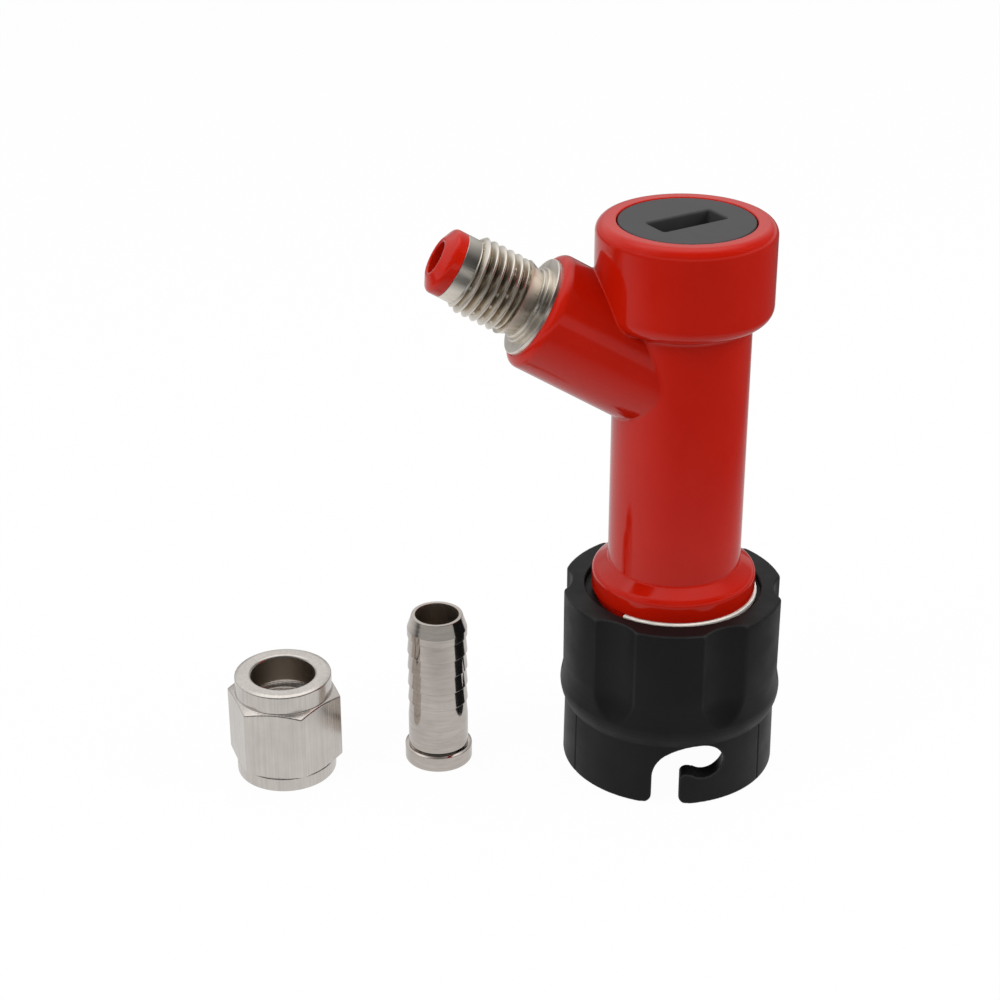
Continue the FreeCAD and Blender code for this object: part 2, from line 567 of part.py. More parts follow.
def build_collar():
    """The black bayonet collar: grip with six scallops, skirt with three hooked slots."""
    ledge_radius = f"{NECK_RADIUS} + ledge_gap"
    ledge_foot = f"{LEDGE_TOP} - ledge_height"
    body = lathe("locking_collar", (
        ("skirt_mouth_radius", "0"),
        ("skirt_foot_radius - collar_edge", "0"),
        ("skirt_foot_radius", "collar_edge"),
        ("skirt_radius", "bulge_foot", "left", "bulge_round"),
        ("bulge_radius", "bulge_foot + bulge_height", "right", "grip_taper_round"),
        ("grip_radius", "grip_taper_top"),
        ("grip_radius", "collar_height - collar_edge"),
        ("grip_radius - collar_edge", "collar_height"),
        ("mouth_radius", "collar_height"),
        ("mouth_radius", LEDGE_TOP),
        (ledge_radius, LEDGE_TOP),
        (ledge_radius, ledge_foot),
        ("skirt_bore_radius", ledge_foot),
        ("skirt_bore_radius", "skirt_mouth_depth"),
        ("skirt_mouth_radius", "skirt_mouth_depth"),
    ))
    scallop = new_sketch(body, "scallop_outline", turn="scallop_turn", about=FreeCAD.Vector(0, 1, 0))
    centre = "(grip_radius - scallop_depth + scallop_radius)"
    draw_outline(scallop, (
        (centre, "scallop_centre_height - scallop_radius", "right", "scallop_radius"),
        (f"{centre} - scallop_radius", "scallop_centre_height"),
        (f"{centre} - scallop_radius", f"collar_height + {BEYOND}"),
        (centre, f"collar_height + {BEYOND}"),
    ))
    line = Part.LineSegment(
        FreeCAD.Vector(number(centre), 0, 0),
        FreeCAD.Vector(number(centre), number("collar_height"), 0),
    )
    edge = scallop.addGeometry(line, True)
    pin_corner(scallop, edge, 1, (centre, "0"), "low")
    pin_corner(scallop, edge, 2, (centre, "collar_height"), "high")
    cut = spin(body, "Groove", "scallop", scallop, axis="Axis0")
    repeat_around(body, "scallops", cut, scallop, "scallop_count")

    slot = new_sketch(body, "slot_outline_j", turn="slot_turn", about=FreeCAD.Vector(0, 1, 0))
    side = "slot_width / 2"
    flare = f"({side} + slot_mouth_round)"
    hook_up = (
        "slot_pocket_up - sqrt(slot_pocket_radius ^ 2 - (slot_pocket_across - slot_hook_across) ^ 2)"
    )
    draw_outline(slot, (
        (f"-{flare}", f"-{BEYOND}"),
        (f"-{flare}", "0", "left", "slot_mouth_round"),
        (f"-{side}", "slot_mouth_round"),
        (f"-{side}", "slot_lead_up", "right", "slot_turn_round"),
        ("slot_ramp_across", "slot_ramp_up", "right", "slot_ramp_round"),
        ("slot_crest_across", "slot_crest_up", "right", "slot_crest_round"),
        ("slot_pocket_across + slot_pocket_radius", "slot_pocket_up", "right", "slot_pocket_radius"),
        ("slot_hook_across", hook_up),
        (f"{side} + slot_nose_width", "slot_nose_up", "left", "slot_nose_round"),
        (side, "slot_nose_up - slot_nose_width / 2"),
        (side, "slot_mouth_round", "left", "slot_mouth_round"),
        (flare, "0"),
        (flare, f"-{BEYOND}"),
    ))
    cut = body.newObject("PartDesign::Pocket", "bayonet_slot")
    cut.Profile = slot
    cut.Reversed = True
    cut.Type = "ThroughAll"
    repeat_around(body, "bayonet_slots", cut, slot, "slot_count")
    return body


def build_ring():
    """The split ring on the body's neck, between the shoulder's underside and the collar's ledge."""
    body = new_body("retaining_ring")
    sketch = new_sketch(body, "ring_section", turn="ring_turn", about=FreeCAD.Vector(0, 1, 0))
    draw_outline(sketch, (
        (NECK_RADIUS, RING_FOOT),
        ("ring_radius", RING_FOOT),
        ("ring_radius", RING_TOP),
        (NECK_RADIUS, RING_TOP),
    ))
    spin(body, "Revolution", "ring_turned", sketch, angle="360 - ring_opening")
    return body


def build_socket():
    """The socket for the keg post; its flange lies under the collar's ledge."""
    flange_radius = "skirt_bore_radius - socket_flange_gap"
    flange_foot = f"{SOCKET_FLANGE_TOP} - socket_flange_height"
    return lathe("post_socket", (
        ("post_bore_radius + socket_lead", "socket_foot"),
        ("socket_radius", "socket_foot"),
        ("socket_radius", flange_foot),
        (flange_radius, flange_foot),
        (flange_radius, SOCKET_FLANGE_TOP),
        ("spigot_radius", SOCKET_FLANGE_TOP),
        ("spigot_radius", SPIGOT_TOP),
        ("post_bore_radius", SPIGOT_TOP),
        ("post_bore_radius", "socket_foot + socket_lead"),
    ))


def build_nut():
    """The swivel nut: a hexagon between two round collars, threaded from below."""
    corner_radius = "(nut_flats / sqrt(3))"
    hex_foot = "nut_foot_height"
    hex_top = "nut_height - nut_top_height"
    body = lathe("swivel_nut", (
        ("nut_thread_radius + nut_edge", "0"),
        ("nut_foot_radius - nut_edge", "0"),
        ("nut_foot_radius", "nut_edge"),
        ("nut_foot_radius", hex_foot),
        (corner_radius, f"{hex_foot} + nut_chamfer_rise"),
        (corner_radius, f"{hex_top} - nut_chamfer_rise"),
        ("nut_top_radius", hex_top),
        ("nut_top_radius", "nut_height - nut_edge"),
        ("nut_top_radius - nut_edge", "nut_height"),
        ("nut_bore_radius + nut_edge", "nut_height"),
        ("nut_bore_radius", "nut_height - nut_edge"),
        ("nut_bore_radius", "nut_thread_depth + nut_seat_rise"),
        ("nut_thread_radius", "nut_thread_depth"),
        ("nut_thread_radius", "nut_edge"),
    ), at_x="nut_x", at_y="nut_y")
    flats = new_sketch(body, "hexagon_outline", role="XY_Plane", turn="nut_turn")
    half_flat = "nut_flats / 2"
    reach = f"{corner_radius} + {BEYOND}"
    draw_outline(flats, (
        (half_flat, f"-({reach})"),
        (reach, f"-({reach})"),
        (reach, reach),
        (half_flat, reach),
    ))
    cut = body.newObject("PartDesign::Pocket", "flat")
    cut.Profile = flats
    cut.Reversed = True
    cut.setExpression("Length", formula(f"nut_height + {BEYOND}"))
    repeat_around(body, "six_flats", cut, flats, HEXAGON_SIDES, axis="N_Axis")
    return body


def build_tail():
    """The barbed hose tail; each barb widens downwards and ends in a ledge."""
    barbs = []
    for place in range(int(number("tail_barb_count"))):
        ledge = f"(tail_first_ledge - {place} * tail_barb_pitch)"
        barbs.append(("tail_shank_radius", ledge))
        barbs.append(("tail_root_radius", f"{ledge} - tail_barb_ledge"))
    barbs.reverse()
    return lathe("hose_tail", (
        ("tail_flare_radius", "0"),
        ("tail_flange_radius - tail_flange_edge", "0"),
        ("tail_flange_radius", "tail_flange_edge"),
        ("tail_flange_radius", "tail_flange_height - tail_flange_edge"),
        ("tail_flange_radius - tail_flange_edge", "tail_flange_height"),
        ("tail_shank_radius - tail_groove", "tail_flange_height"),
        ("tail_shank_radius - tail_groove", "tail_flange_height + tail_groove"),
        ("tail_shank_radius", "tail_flange_height + 2 * tail_groove"),
        ("tail_shank_radius", "tail_shank_top"),
        *barbs,
        ("tail_shank_radius", "tail_height - tail_nose_height"),
        ("tail_nose_radius", "tail_height"),
        ("tail_bore_radius", "tail_height"),
        ("tail_bore_radius", "tail_flare_radius - tail_bore_radius"),
    ), at_x="tail_x", at_y="tail_y")


def build_seals():
    """The three seals: under the cap, above the socket and on the plunger."""
    gasket = lathe("cap_gasket", (
        ("cap_plug_radius", RECESS_FLOOR),
        ("cap_radius - gasket_gap", RECESS_FLOOR),
        ("cap_radius - gasket_gap", CAP_SEAT),
        ("cap_plug_radius", CAP_SEAT),
    ))
    socket_seal = lathe("socket_seal", (
        ("post_bore_radius + socket_seal_bore_gap", SPIGOT_TOP),
        ("spigot_radius", SPIGOT_TOP),
        ("spigot_radius", SHOULDER_TOP),
        ("post_bore_radius + socket_seal_bore_gap", SHOULDER_TOP),
    ))
    plunger_seal = lathe("plunger_seal", (
        ("seal_bore_radius", SEAT_FACE),
        ("seal_radius", SEAT_FACE),
        ("seal_radius", f"{SEAT_FACE} + seal_thickness"),
        ("seal_bore_radius", f"{SEAT_FACE} + seal_thickness"),
    ))
    return [gasket, socket_seal, plunger_seal]


pieces = [
    build_body(),
    build_sleeve(),
    build_cap(),
    build_plunger(),
    build_spring(),
    build_collar(),
    build_ring(),
    build_socket(),
    build_nut(),
    build_tail(),
    *build_seals(),
]
doc.recompute()

for item in doc.Objects:
    if "Invalid" in item.State or "Error" in item.State:
        raise RuntimeError(f"{item.Label} failed: {item.State}")
os.makedirs("parts", exist_ok=True)
for piece in pieces:
    shape = piece.Shape
    if shape.isNull() or not shape.isValid() or len(shape.Solids) != 1:
        raise RuntimeError(f"{piece.Label} is not one sound solid")
    shape.exportStep(f"parts/{piece.Label}.step")
    print(f"{piece.Label}: {shape.Volume:.1f} mm3, {shape.BoundBox}")
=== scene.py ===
"""Looks of the keg disconnect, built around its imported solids.

Shapes are worked out in millimetres and written to Blender in metres. The moulded pieces and the nut are
distance fields, negative inside, which are cut, joined and rounded on a grid and then skinned. The turned
and wound pieces are grids of points.
"""
import itertools
import math

import bpy
import numpy as np
import openvdb
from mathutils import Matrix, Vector


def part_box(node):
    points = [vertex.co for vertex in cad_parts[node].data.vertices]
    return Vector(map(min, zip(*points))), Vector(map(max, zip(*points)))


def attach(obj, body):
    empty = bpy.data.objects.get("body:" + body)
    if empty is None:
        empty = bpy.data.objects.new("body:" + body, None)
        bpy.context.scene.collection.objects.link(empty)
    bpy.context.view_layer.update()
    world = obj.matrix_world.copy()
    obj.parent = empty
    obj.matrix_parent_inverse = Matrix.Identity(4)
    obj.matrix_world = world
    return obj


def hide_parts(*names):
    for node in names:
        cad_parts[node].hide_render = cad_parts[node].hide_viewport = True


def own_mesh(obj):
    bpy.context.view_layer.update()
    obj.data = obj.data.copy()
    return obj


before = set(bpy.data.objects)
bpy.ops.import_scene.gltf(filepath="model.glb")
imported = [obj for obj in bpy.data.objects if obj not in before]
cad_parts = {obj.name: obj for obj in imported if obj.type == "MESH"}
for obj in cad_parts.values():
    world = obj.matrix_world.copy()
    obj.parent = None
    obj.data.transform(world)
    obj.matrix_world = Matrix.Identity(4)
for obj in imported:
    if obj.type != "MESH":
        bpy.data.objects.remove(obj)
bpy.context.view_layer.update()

MM = 0.001
FULL_TURN = 2 * math.pi
TINY = 1e-9

# How far outlines reach past the axis they turn about, cutters past what they cut, grids past their piece
BEHIND_AXIS = -3.0
BEYOND = 2.0
MARGIN = 1.4

# Steps of the distance tables, of arcs and of rounded corners; a corner flatter than the last stays sharp
TABLE_STEP = 0.05
ARC_STEP = math.radians(9)
ROUND_STEP = math.radians(11)
FLAT_CORNER = math.radians(14)

# Over how many grid steps a field's slope and its turn are measured
SLOPE_REACH = 0.5
TURN_REACH = 1.5


def corners_of(node):
    """Lowest and highest corner of a CAD node, in millimetres."""
    return [np.array(corner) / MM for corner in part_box(node)]


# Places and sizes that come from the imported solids
BODY_LOW, BODY_HIGH = corners_of("valve_body")
CAP_LOW, CAP_HIGH = corners_of("top_cap")
COLLAR_LOW, COLLAR_HIGH = corners_of("locking_collar")
NUT_LOW, NUT_HIGH = corners_of("swivel_nut")
TAIL_LOW, TAIL_HIGH = corners_of("hose_tail")
SPRING_LOW, SPRING_HIGH = corners_of("plunger_spring")
BODY_TOP = BODY_HIGH[2]
HEAD_RADIUS = BODY_HIGH[0]
CAP_TOP = CAP_HIGH[2]
COLLAR_TOP = COLLAR_HIGH[2]
BULGE_RADIUS = COLLAR_HIGH[0]
NUT_MIDDLE = (NUT_LOW + NUT_HIGH)[:2] / 2
TAIL_MIDDLE = (TAIL_LOW + TAIL_HIGH)[:2] / 2

# The outlet arm: its axis starts on the column's axis, leans towards -X and rises
ARM_HEIGHT = 60.1
ARM_RISE = math.radians(30.5)
ARM_LENGTH = 24.0
ARM_RADIUS = 8.45
ARM_ALONG = np.array([-math.cos(ARM_RISE), 0.0, math.sin(ARM_RISE)])
ARM_UP = np.array([math.sin(ARM_RISE), 0.0, math.cos(ARM_RISE)])
OUTLET_RADIUS = 2.3
LINER_RADIUS = 3.7

# The metal sleeve: a root and a disc sunk into the arm, and a threaded tube that ends before the nozzle
SLEEVE_END = 37.0
DISC_SEAT = ARM_LENGTH - 0.3
ROOT_LENGTH = 6.2
ROOT_RADIUS = 6.0
THREAD_PITCH = 1.27

# Sizes that several pieces share
COLUMN_RADIUS = 9.6
SHOULDER_RADIUS = 11.9
SHOULDER_TOP = 31.2
NECK_RADIUS = 11.3
FLANGE_TOP = 24.2
LEDGE_TOP = 27.2
RING_FOOT = 27.3
RING_TOP = 28.1
CAP_RADIUS = 9.45
CAP_PLUG_RADIUS = 7.9
RECESS_FLOOR = 80.55
PLUG_FOOT = 75.15


def unit(vector):
    return vector / np.linalg.norm(vector)


def bend(start, end, radius, side):
    """Points of the short arc from start to end, its centre on the named side; without its ends."""
    start, end = np.array(start, float), np.array(end, float)
    way = end - start
    towards = unit(np.array([-way[1], way[0]])) * (1 if side == "left" else -1)
    centre = (start + end) / 2 + towards * math.sqrt(radius ** 2 - way @ way / 4)
    first, last = (math.atan2(*(point - centre)[::-1]) for point in (start, end))
    turn = (last - first + math.pi) % FULL_TURN - math.pi
    steps = max(4, math.ceil(abs(turn) / ARC_STEP))
    angles = [first + share * turn for share in np.linspace(0, 1, steps + 1)[1:-1]]
    return [tuple(centre + radius * np.array([math.cos(angle), math.sin(angle)])) for angle in angles]


def rounded(*corners, edge=0.0):
    """A closed outline of corners (across, up) or (across, up, radius); edge is the others' radius."""
    points = []
    for place, corner in enumerate(corners):
        here = np.array(corner[:2], float)
        radius = corner[2] if len(corner) > 2 else edge
        back = unit(np.array(corners[place - 1][:2]) - here)
        on = unit(np.array(corners[(place + 1) % len(corners)][:2]) - here)
        half = math.acos(np.clip(back @ on, -1, 1)) / 2
        turn = math.pi - 2 * half
        if not radius or turn < FLAT_CORNER:
            points.append(here)
            continue
        centre = here + unit(back + on) * radius / math.sin(half)
        first = here + back * radius / math.tan(half) - centre
        last = here + on * radius / math.tan(half) - centre
        steps = max(3, math.ceil(turn / ROUND_STEP))
        for share in np.linspace(0, 1, steps + 1):
            points.append(centre + (math.sin((1 - share) * turn) * first + math.sin(share * turn) * last)
                          / math.sin(turn))
    return np.array(points)


def outline_distance(outline, across, up):
    """Distance from points to a closed outline, negative inside."""
    nearest = np.full(np.broadcast(across, up).shape, np.inf)
    inside = np.zeros(nearest.shape, bool)
    for start, end in zip(outline, np.roll(outline, -1, axis=0)):
        way = end - start
        share = np.clip(((across - start[0]) * way[0] + (up - start[1]) * way[1]) / (way @ way), 0, 1)
        gap = (across - start[0] - share * way[0]) ** 2 + (up - start[1] - share * way[1]) ** 2
        nearest = np.minimum(nearest, gap)
        if way[1]:
            crosses = (start[1] > up) != (end[1] > up)
            inside ^= crosses & (across < start[0] + (up - start[1]) * way[0] / way[1])
    return np.where(inside, -1, 1) * np.sqrt(nearest)


def drawn(outline, across, up):
    """Distance to an outline at many points, read between the entries of a fine table."""
    outline = np.array(outline)
    entries, places = [], []
    for value, line in ((across, outline[:, 0]), (up, outline[:, 1])):
        low = max(line.min() - MARGIN, value.min())
        high = min(line.max() + MARGIN, value.max()) + 2 * TABLE_STEP
        entries.append(np.arange(low, high + TABLE_STEP, TABLE_STEP))
        places.append((np.clip(value, low, high - TABLE_STEP) - low) / TABLE_STEP)
    table = outline_distance(outline, entries[0][:, None], entries[1][None, :]).astype(np.float32)
    (i, j), (a, b) = zip(*((place.astype(np.int32), (place % 1).astype(np.float32)) for place in places))
    low_side = table[i, j] * (1 - a) + table[i + 1, j] * a
    high_side = table[i, j + 1] * (1 - a) + table[i + 1, j + 1] * a
    return low_side * (1 - b) + high_side * b


def joined(one, other, radius):
    """Both solids together, with a concave round where they meet."""
    corner = np.hypot(np.maximum(radius - one, 0), np.maximum(radius - other, 0))
    return np.maximum(radius, np.minimum(one, other)) - corner


def without(one, other, radius):
    """The first solid less the second, with a convex round on the new edges."""
    corner = np.hypot(np.maximum(radius + one, 0), np.maximum(radius - other, 0))
    return np.minimum(-radius, np.maximum(one, -other)) + corner


class Block:
    """A block of space on a regular grid around the Z axis or a place beside it."""

    def __init__(self, low, high, pitch, middle=(0.0, 0.0)):
        self.pitch = pitch
        self.low = np.array(low, float) - MARGIN
        counts = np.ceil((np.array(high, float) + MARGIN - self.low) / pitch).astype(int) + 1
        ticks = [start + pitch * np.arange(count) for start, count in zip(self.low, counts)]
        self.x, self.y, self.z = np.meshgrid(ticks[0] - middle[0], ticks[1] - middle[1], ticks[2],
                                             indexing="ij", sparse=True)
        self.radius = np.hypot(self.x, self.y)

    def revolved(self, outline):
        """Distance to an outline (radius, height) turned about the block's upright axis."""
        return drawn(outline, self.radius, self.z)

    def on_arm(self):
        """Place along the outlet arm's axis and distance from it."""
        along = self.x * ARM_ALONG[0] + (self.z - ARM_HEIGHT) * ARM_ALONG[2]
        off = np.hypot(self.x * ARM_UP[0] + (self.z - ARM_HEIGHT) * ARM_UP[2], self.y)
        return along, off

    def turned_axes(self, degrees):
        """Coordinates outwards and sideways for a direction seen from above."""
        angle = math.radians(degrees)
        outwards = self.x * math.cos(angle) + self.y * math.sin(angle)
        sideways = self.y * math.cos(angle) - self.x * math.sin(angle)
        return outwards, sideways

    def skin(self, name, distance, mark_edges=False):
        """The surface where the distance is zero, as a mesh of quads with the field's own normals.

        The skinned points are pulled onto the surface twice. Marked edges are what the lighter edges go by,
        partly wear and partly painted highlight.
        """
        band = 3 * self.pitch
        grid = openvdb.FloatGrid(band)
        grid.copyFromArray(np.clip(distance, -band, band).astype(np.float32))
        points, quads = grid.convertToQuads(isovalue=0.0)
        points = points.astype(float)
        for _ in range(2):
            height = values_at(distance, points) / self.pitch
            points -= slope_at(distance, points) * height[:, None]
        made = make_object(name, points * self.pitch + self.low, quads, slope_at(distance, points))
        if mark_edges:
            marks = made.data.attributes.new("edge", "FLOAT", "POINT")
            marks.data.foreach_set("value", turn_at(distance, points, self.pitch))
        return made


def values_at(volume, points):
    """Values of a volume between its grid points."""
    low = np.floor(points).astype(int)
    share = points - low
    total = np.zeros(len(points))
    for corner in itertools.product((0, 1), repeat=3):
        weight = np.prod(np.where(corner, share, 1 - share), axis=1)
        total += weight * volume[tuple((low + corner).T)]
    return total


def slope_at(volume, points):
    """Unit direction in which a volume's values rise."""
    rises = [values_at(volume, points + SLOPE_REACH * axis) - values_at(volume, points - SLOPE_REACH * axis)
             for axis in np.eye(3)]
    slope = np.stack(rises, axis=1)
    return slope / np.maximum(np.linalg.norm(slope, axis=1, keepdims=True), TINY)


def turn_at(volume, points, pitch):
    """How sharply a surface turns away to its sides, per millimetre; in a hollow it is negative."""
    sides = [side * TURN_REACH * axis for axis in np.eye(3) for side in (-1, 1)]
    around = sum(values_at(volume, points + side) for side in sides)
    return (around - len(sides) * values_at(volume, points)) / (TURN_REACH * pitch) ** 2


def make_object(name, points, quads, normals):
    """A smooth mesh object from points in millimetres; its faces are turned to face along the normals."""
    sides = np.cross(points[quads[:, 2]] - points[quads[:, 0]], points[quads[:, 3]] - points[quads[:, 1]])
    if np.einsum("ij,ij->", sides, normals[quads].sum(axis=1)) < 0:
        quads = quads[:, ::-1]
    mesh = bpy.data.meshes.new(name)
    mesh.vertices.add(len(points))
    mesh.vertices.foreach_set("co", (points * MM).ravel())
    mesh.loops.add(quads.size)
    mesh.loops.foreach_set("vertex_index", quads.ravel())
    mesh.polygons.add(len(quads))
    mesh.polygons.foreach_set("loop_start", np.arange(len(quads)) * 4)
    mesh.polygons.foreach_set("use_smooth", np.ones(len(quads), bool))
    mesh.update(calc_edges=True)
    mesh.normals_split_custom_set_from_vertices(normals)
    made = bpy.data.objects.new(name, mesh)
    bpy.context.scene.collection.objects.link(made)
    return made


def skin_grid(name, points, closed_along=True):
    """A mesh over a grid of points: rows follow an outline, columns go round it or along a path.

    A path's two ends are closed with rungs across the outline, which has an even number of points.
    """
    rows, columns = points.shape[:2]
    down = np.roll(points, -1, axis=0) - np.roll(points, 1, axis=0)
    if closed_along:
        sideways = np.roll(points, -1, axis=1) - np.roll(points, 1, axis=1)
    else:
        sideways = np.gradient(points, axis=1)
    normals = np.cross(down, sideways).reshape(-1, 3)
    outwards = (points - points.mean(axis=0, keepdims=True)).reshape(-1, 3)
    if np.einsum("ij,ij->", normals, outwards) < 0:
        normals = -normals
    normals /= np.linalg.norm(normals, axis=1, keepdims=True)
    index = np.arange(rows * columns).reshape(rows, columns)
    on = np.roll(index, -1, axis=0)
    if closed_along:
        index, on = (np.concatenate([part, part[:, :1]], axis=1) for part in (index, on))
    quads = np.stack([index[:, :-1], on[:, :-1], on[:, 1:], index[:, 1:]], axis=-1).reshape(-1, 4)
    if not closed_along:
        near = np.arange(rows // 2 - 1)
        rungs = [near, near + 1, rows - 2 - near, rows - 1 - near]
        quads = np.concatenate([quads, index[rungs[::-1], 0].T, index[rungs, -1].T])
    return make_object(name, points.reshape(-1, 3), quads, normals)


def full_circle(count):
    """Angles spaced evenly all the way round."""
    return np.linspace(0, FULL_TURN, count, endpoint=False)


def about_axis(radius, angles, height, middle=(0.0, 0.0)):
    """Points at a distance, an angle and a height about an upright axis."""
    across = middle[0] + radius * np.cos(angles)
    deep = middle[1] + radius * np.sin(angles)
    return np.stack(np.broadcast_arrays(across, deep, height), axis=-1)


def thread_height(along, angle):
    """Height of a right-handed thread with soft crests and roots, from 0 at its root to 1 on its crest."""
    from_crest = np.abs((along / THREAD_PITCH - angle / FULL_TURN + 0.5) % 1 - 0.5)
    return 0.5 + 0.5 * np.cos(FULL_TURN * from_crest)


def column_outline():
    """Column, head and shoulder of the body, and the neck under the shoulder."""
    head_foot = BODY_TOP - 13.8
    slope_top = SHOULDER_TOP + 1.5
    return rounded(
        (BEHIND_AXIS, FLANGE_TOP),
        (NECK_RADIUS, FLANGE_TOP, 0.2),
        (NECK_RADIUS, RING_TOP),
        (SHOULDER_RADIUS, RING_TOP, 0.15),
        (SHOULDER_RADIUS, SHOULDER_TOP, 1.2),
        (COLUMN_RADIUS, slope_top, 0.2),
        (COLUMN_RADIUS, head_foot, 0.9),
        (HEAD_RADIUS, head_foot, 2.2),
        (HEAD_RADIUS, BODY_TOP, 1.6),
        (BEHIND_AXIS, BODY_TOP),
    )


def bore_outline():
    """All that is hollow about the column's axis: socket seat, post bore, valve chamber and cap recess."""
    socket_seat, post_bore, throat, chamber = 9.9, 8.1, 3.9, 6.2
    post_end, chamber_foot = 38.4, 41.0
    chamber_top = PLUG_FOOT - 1.0
    cap_bore = CAP_PLUG_RADIUS + 0.1
    recess = CAP_RADIUS + 0.12
    return rounded(
        (BEHIND_AXIS, FLANGE_TOP - BEYOND),
        (socket_seat, FLANGE_TOP - BEYOND),
        (socket_seat, SHOULDER_TOP),
        (post_bore, SHOULDER_TOP),
        (post_bore, post_end),
        (throat, post_end),
        (throat, chamber_foot),
        (chamber, chamber_foot),
        (chamber, chamber_top),
        (cap_bore, chamber_top),
        (cap_bore, RECESS_FLOOR),
        (recess, RECESS_FLOOR),
        (recess, BODY_TOP + BEYOND),
        (BEHIND_AXIS, BODY_TOP + BEYOND),
    )


def arm_outline():
    """The outlet arm and its nozzle, along the arm's own axis."""
    nozzle, mouth = 4.7, 2.9
    cone_foot = SLEEVE_END + 1.7
    cone_end = cone_foot + 0.95
    return rounded(
        (0.0, BEHIND_AXIS),
        (0.0, ARM_RADIUS),
        (ARM_LENGTH, ARM_RADIUS, 1.3),
        (ARM_LENGTH, LINER_RADIUS),
        (SLEEVE_END, LINER_RADIUS),
        (SLEEVE_END, nozzle, 0.2),
        (cone_foot, nozzle, 0.7),
        (cone_end, mouth, 0.2),
        (cone_end, BEHIND_AXIS),
    )


def sleeve_seat_outline():
    """The pocket in the arm that holds the sleeve's root and disc."""
    root_end = DISC_SEAT - ROOT_LENGTH
    disc_pocket = ARM_RADIUS - 1.4
    return rounded(
        (root_end, LINER_RADIUS),
        (root_end, ROOT_RADIUS),
        (DISC_SEAT, ROOT_RADIUS),
        (DISC_SEAT, disc_pocket),
        (ARM_LENGTH + BEYOND, disc_pocket),
        (ARM_LENGTH + BEYOND, LINER_RADIUS),
    )


def build_body():
    """The red moulding, with soft corners where arm, column and head meet."""
    block = Block(BODY_LOW, BODY_HIGH, pitch=0.2)
    along, off = block.on_arm()
    body = joined(block.revolved(column_outline()), drawn(arm_outline(), along, off), radius=0.12)
    body = np.maximum(body, -drawn(sleeve_seat_outline(), along, off))
    body = without(body, block.revolved(bore_outline()), radius=0.1)
    outlet_way = np.maximum(off - OUTLET_RADIUS, -along)
    return block.skin("body_moulding", without(body, outlet_way, radius=0.15))


def build_cap():
    """The dark screw cap with its coin slot."""
    block = Block(CAP_LOW, CAP_HIGH, pitch=0.14)
    hollow, hollow_top = 5.4, PLUG_FOOT + 1.6
    flange_foot = RECESS_FLOOR + 1.3
    cap = block.revolved(rounded(
        (BEHIND_AXIS, hollow_top),
        (hollow, hollow_top),
        (hollow, PLUG_FOOT, 0.15),
        (CAP_PLUG_RADIUS, PLUG_FOOT, 0.3),
        (CAP_PLUG_RADIUS, flange_foot),
        (CAP_RADIUS, flange_foot, 0.15),
        (CAP_RADIUS, CAP_TOP, 0.2),
        (BEHIND_AXIS, CAP_TOP),
    ))
    slot_turn, half_long, half_wide, slot_depth = 24.7, 5.3, 2.15, 4.6
    slot = rounded((-half_long, -half_wide), (half_long, -half_wide), (half_long, half_wide),
                   (-half_long, half_wide), edge=0.35)
    slot = np.maximum(drawn(slot, *block.turned_axes(slot_turn)), CAP_TOP - slot_depth - block.z)
    return block.skin("slotted_cap", without(cap, slot, radius=0.35))


def collar_outline():
    """Section of the collar: skirt, rounded grip, mouth and inner ledge."""
    skirt_top, bulge_top, grip_foot = (15.5, 9.8), (BULGE_RADIUS, 12.4), (16.1, 17.0)
    skirt_foot, skirt_bore, chamber, chamber_foot = 15.65, 12.7, 12.5, 11.5
    mouth, ledge_bore = 12.85, NECK_RADIUS + 0.2
    ledge_foot = LEDGE_TOP - 2.8
    return rounded(
        (skirt_bore, 0.0, 0.2),
        (skirt_foot, 0.0, 0.2),
        skirt_top,
        *bend(skirt_top, bulge_top, 5.0, "left"),
        bulge_top,
        *bend(bulge_top, grip_foot, 30.0, "right"),
        grip_foot,
        (grip_foot[0], COLLAR_TOP, 0.3),
        (mouth, COLLAR_TOP, 0.2),
        (mouth, LEDGE_TOP),
        (ledge_bore, LEDGE_TOP, 0.15),
        (ledge_bore, ledge_foot, 0.15),
        (chamber, ledge_foot),
        (chamber, chamber_foot),
        (skirt_bore, chamber_foot),
    )


def bayonet_outline():
    """The hooked slot as seen from outside: entry, ramp, pocket for the pin and the hook's nose."""
    side, mouth, pocket, pocket_radius = 1.975, 1.4, (5.6, 6.85), 2.65
    hook_across = 3.95
    hook = (hook_across, pocket[1] - math.sqrt(pocket_radius ** 2 - (pocket[0] - hook_across) ** 2))
    lead, ramp, crest = (-side, 4.3), (-0.2, 8.05), (5.0, 9.6)
    rim = (pocket[0] + pocket_radius, pocket[1])
    nose = (side + 1.2, 5.0)
    nose_foot = (side, nose[1] - 0.6)
    return np.array([
        (-side - mouth, -BEYOND),
        (-side - mouth, 0.0),
        *bend((-side - mouth, 0.0), (-side, mouth), mouth, "left"),
        (-side, mouth),
        lead,
        *bend(lead, ramp, 4.9, "right"),
        ramp,
        *bend(ramp, crest, 8.0, "right"),
        crest,
        *bend(crest, rim, 3.3, "right"),
        rim,
        *bend(rim, hook, pocket_radius, "right"),
        hook,
        nose,
        *bend(nose, nose_foot, 1.0, "left"),
        nose_foot,
        (side, mouth),
        *bend((side, mouth), (side + mouth, 0.0), mouth, "left"),
        (side + mouth, 0.0),
        (side + mouth, -BEYOND),
    ])


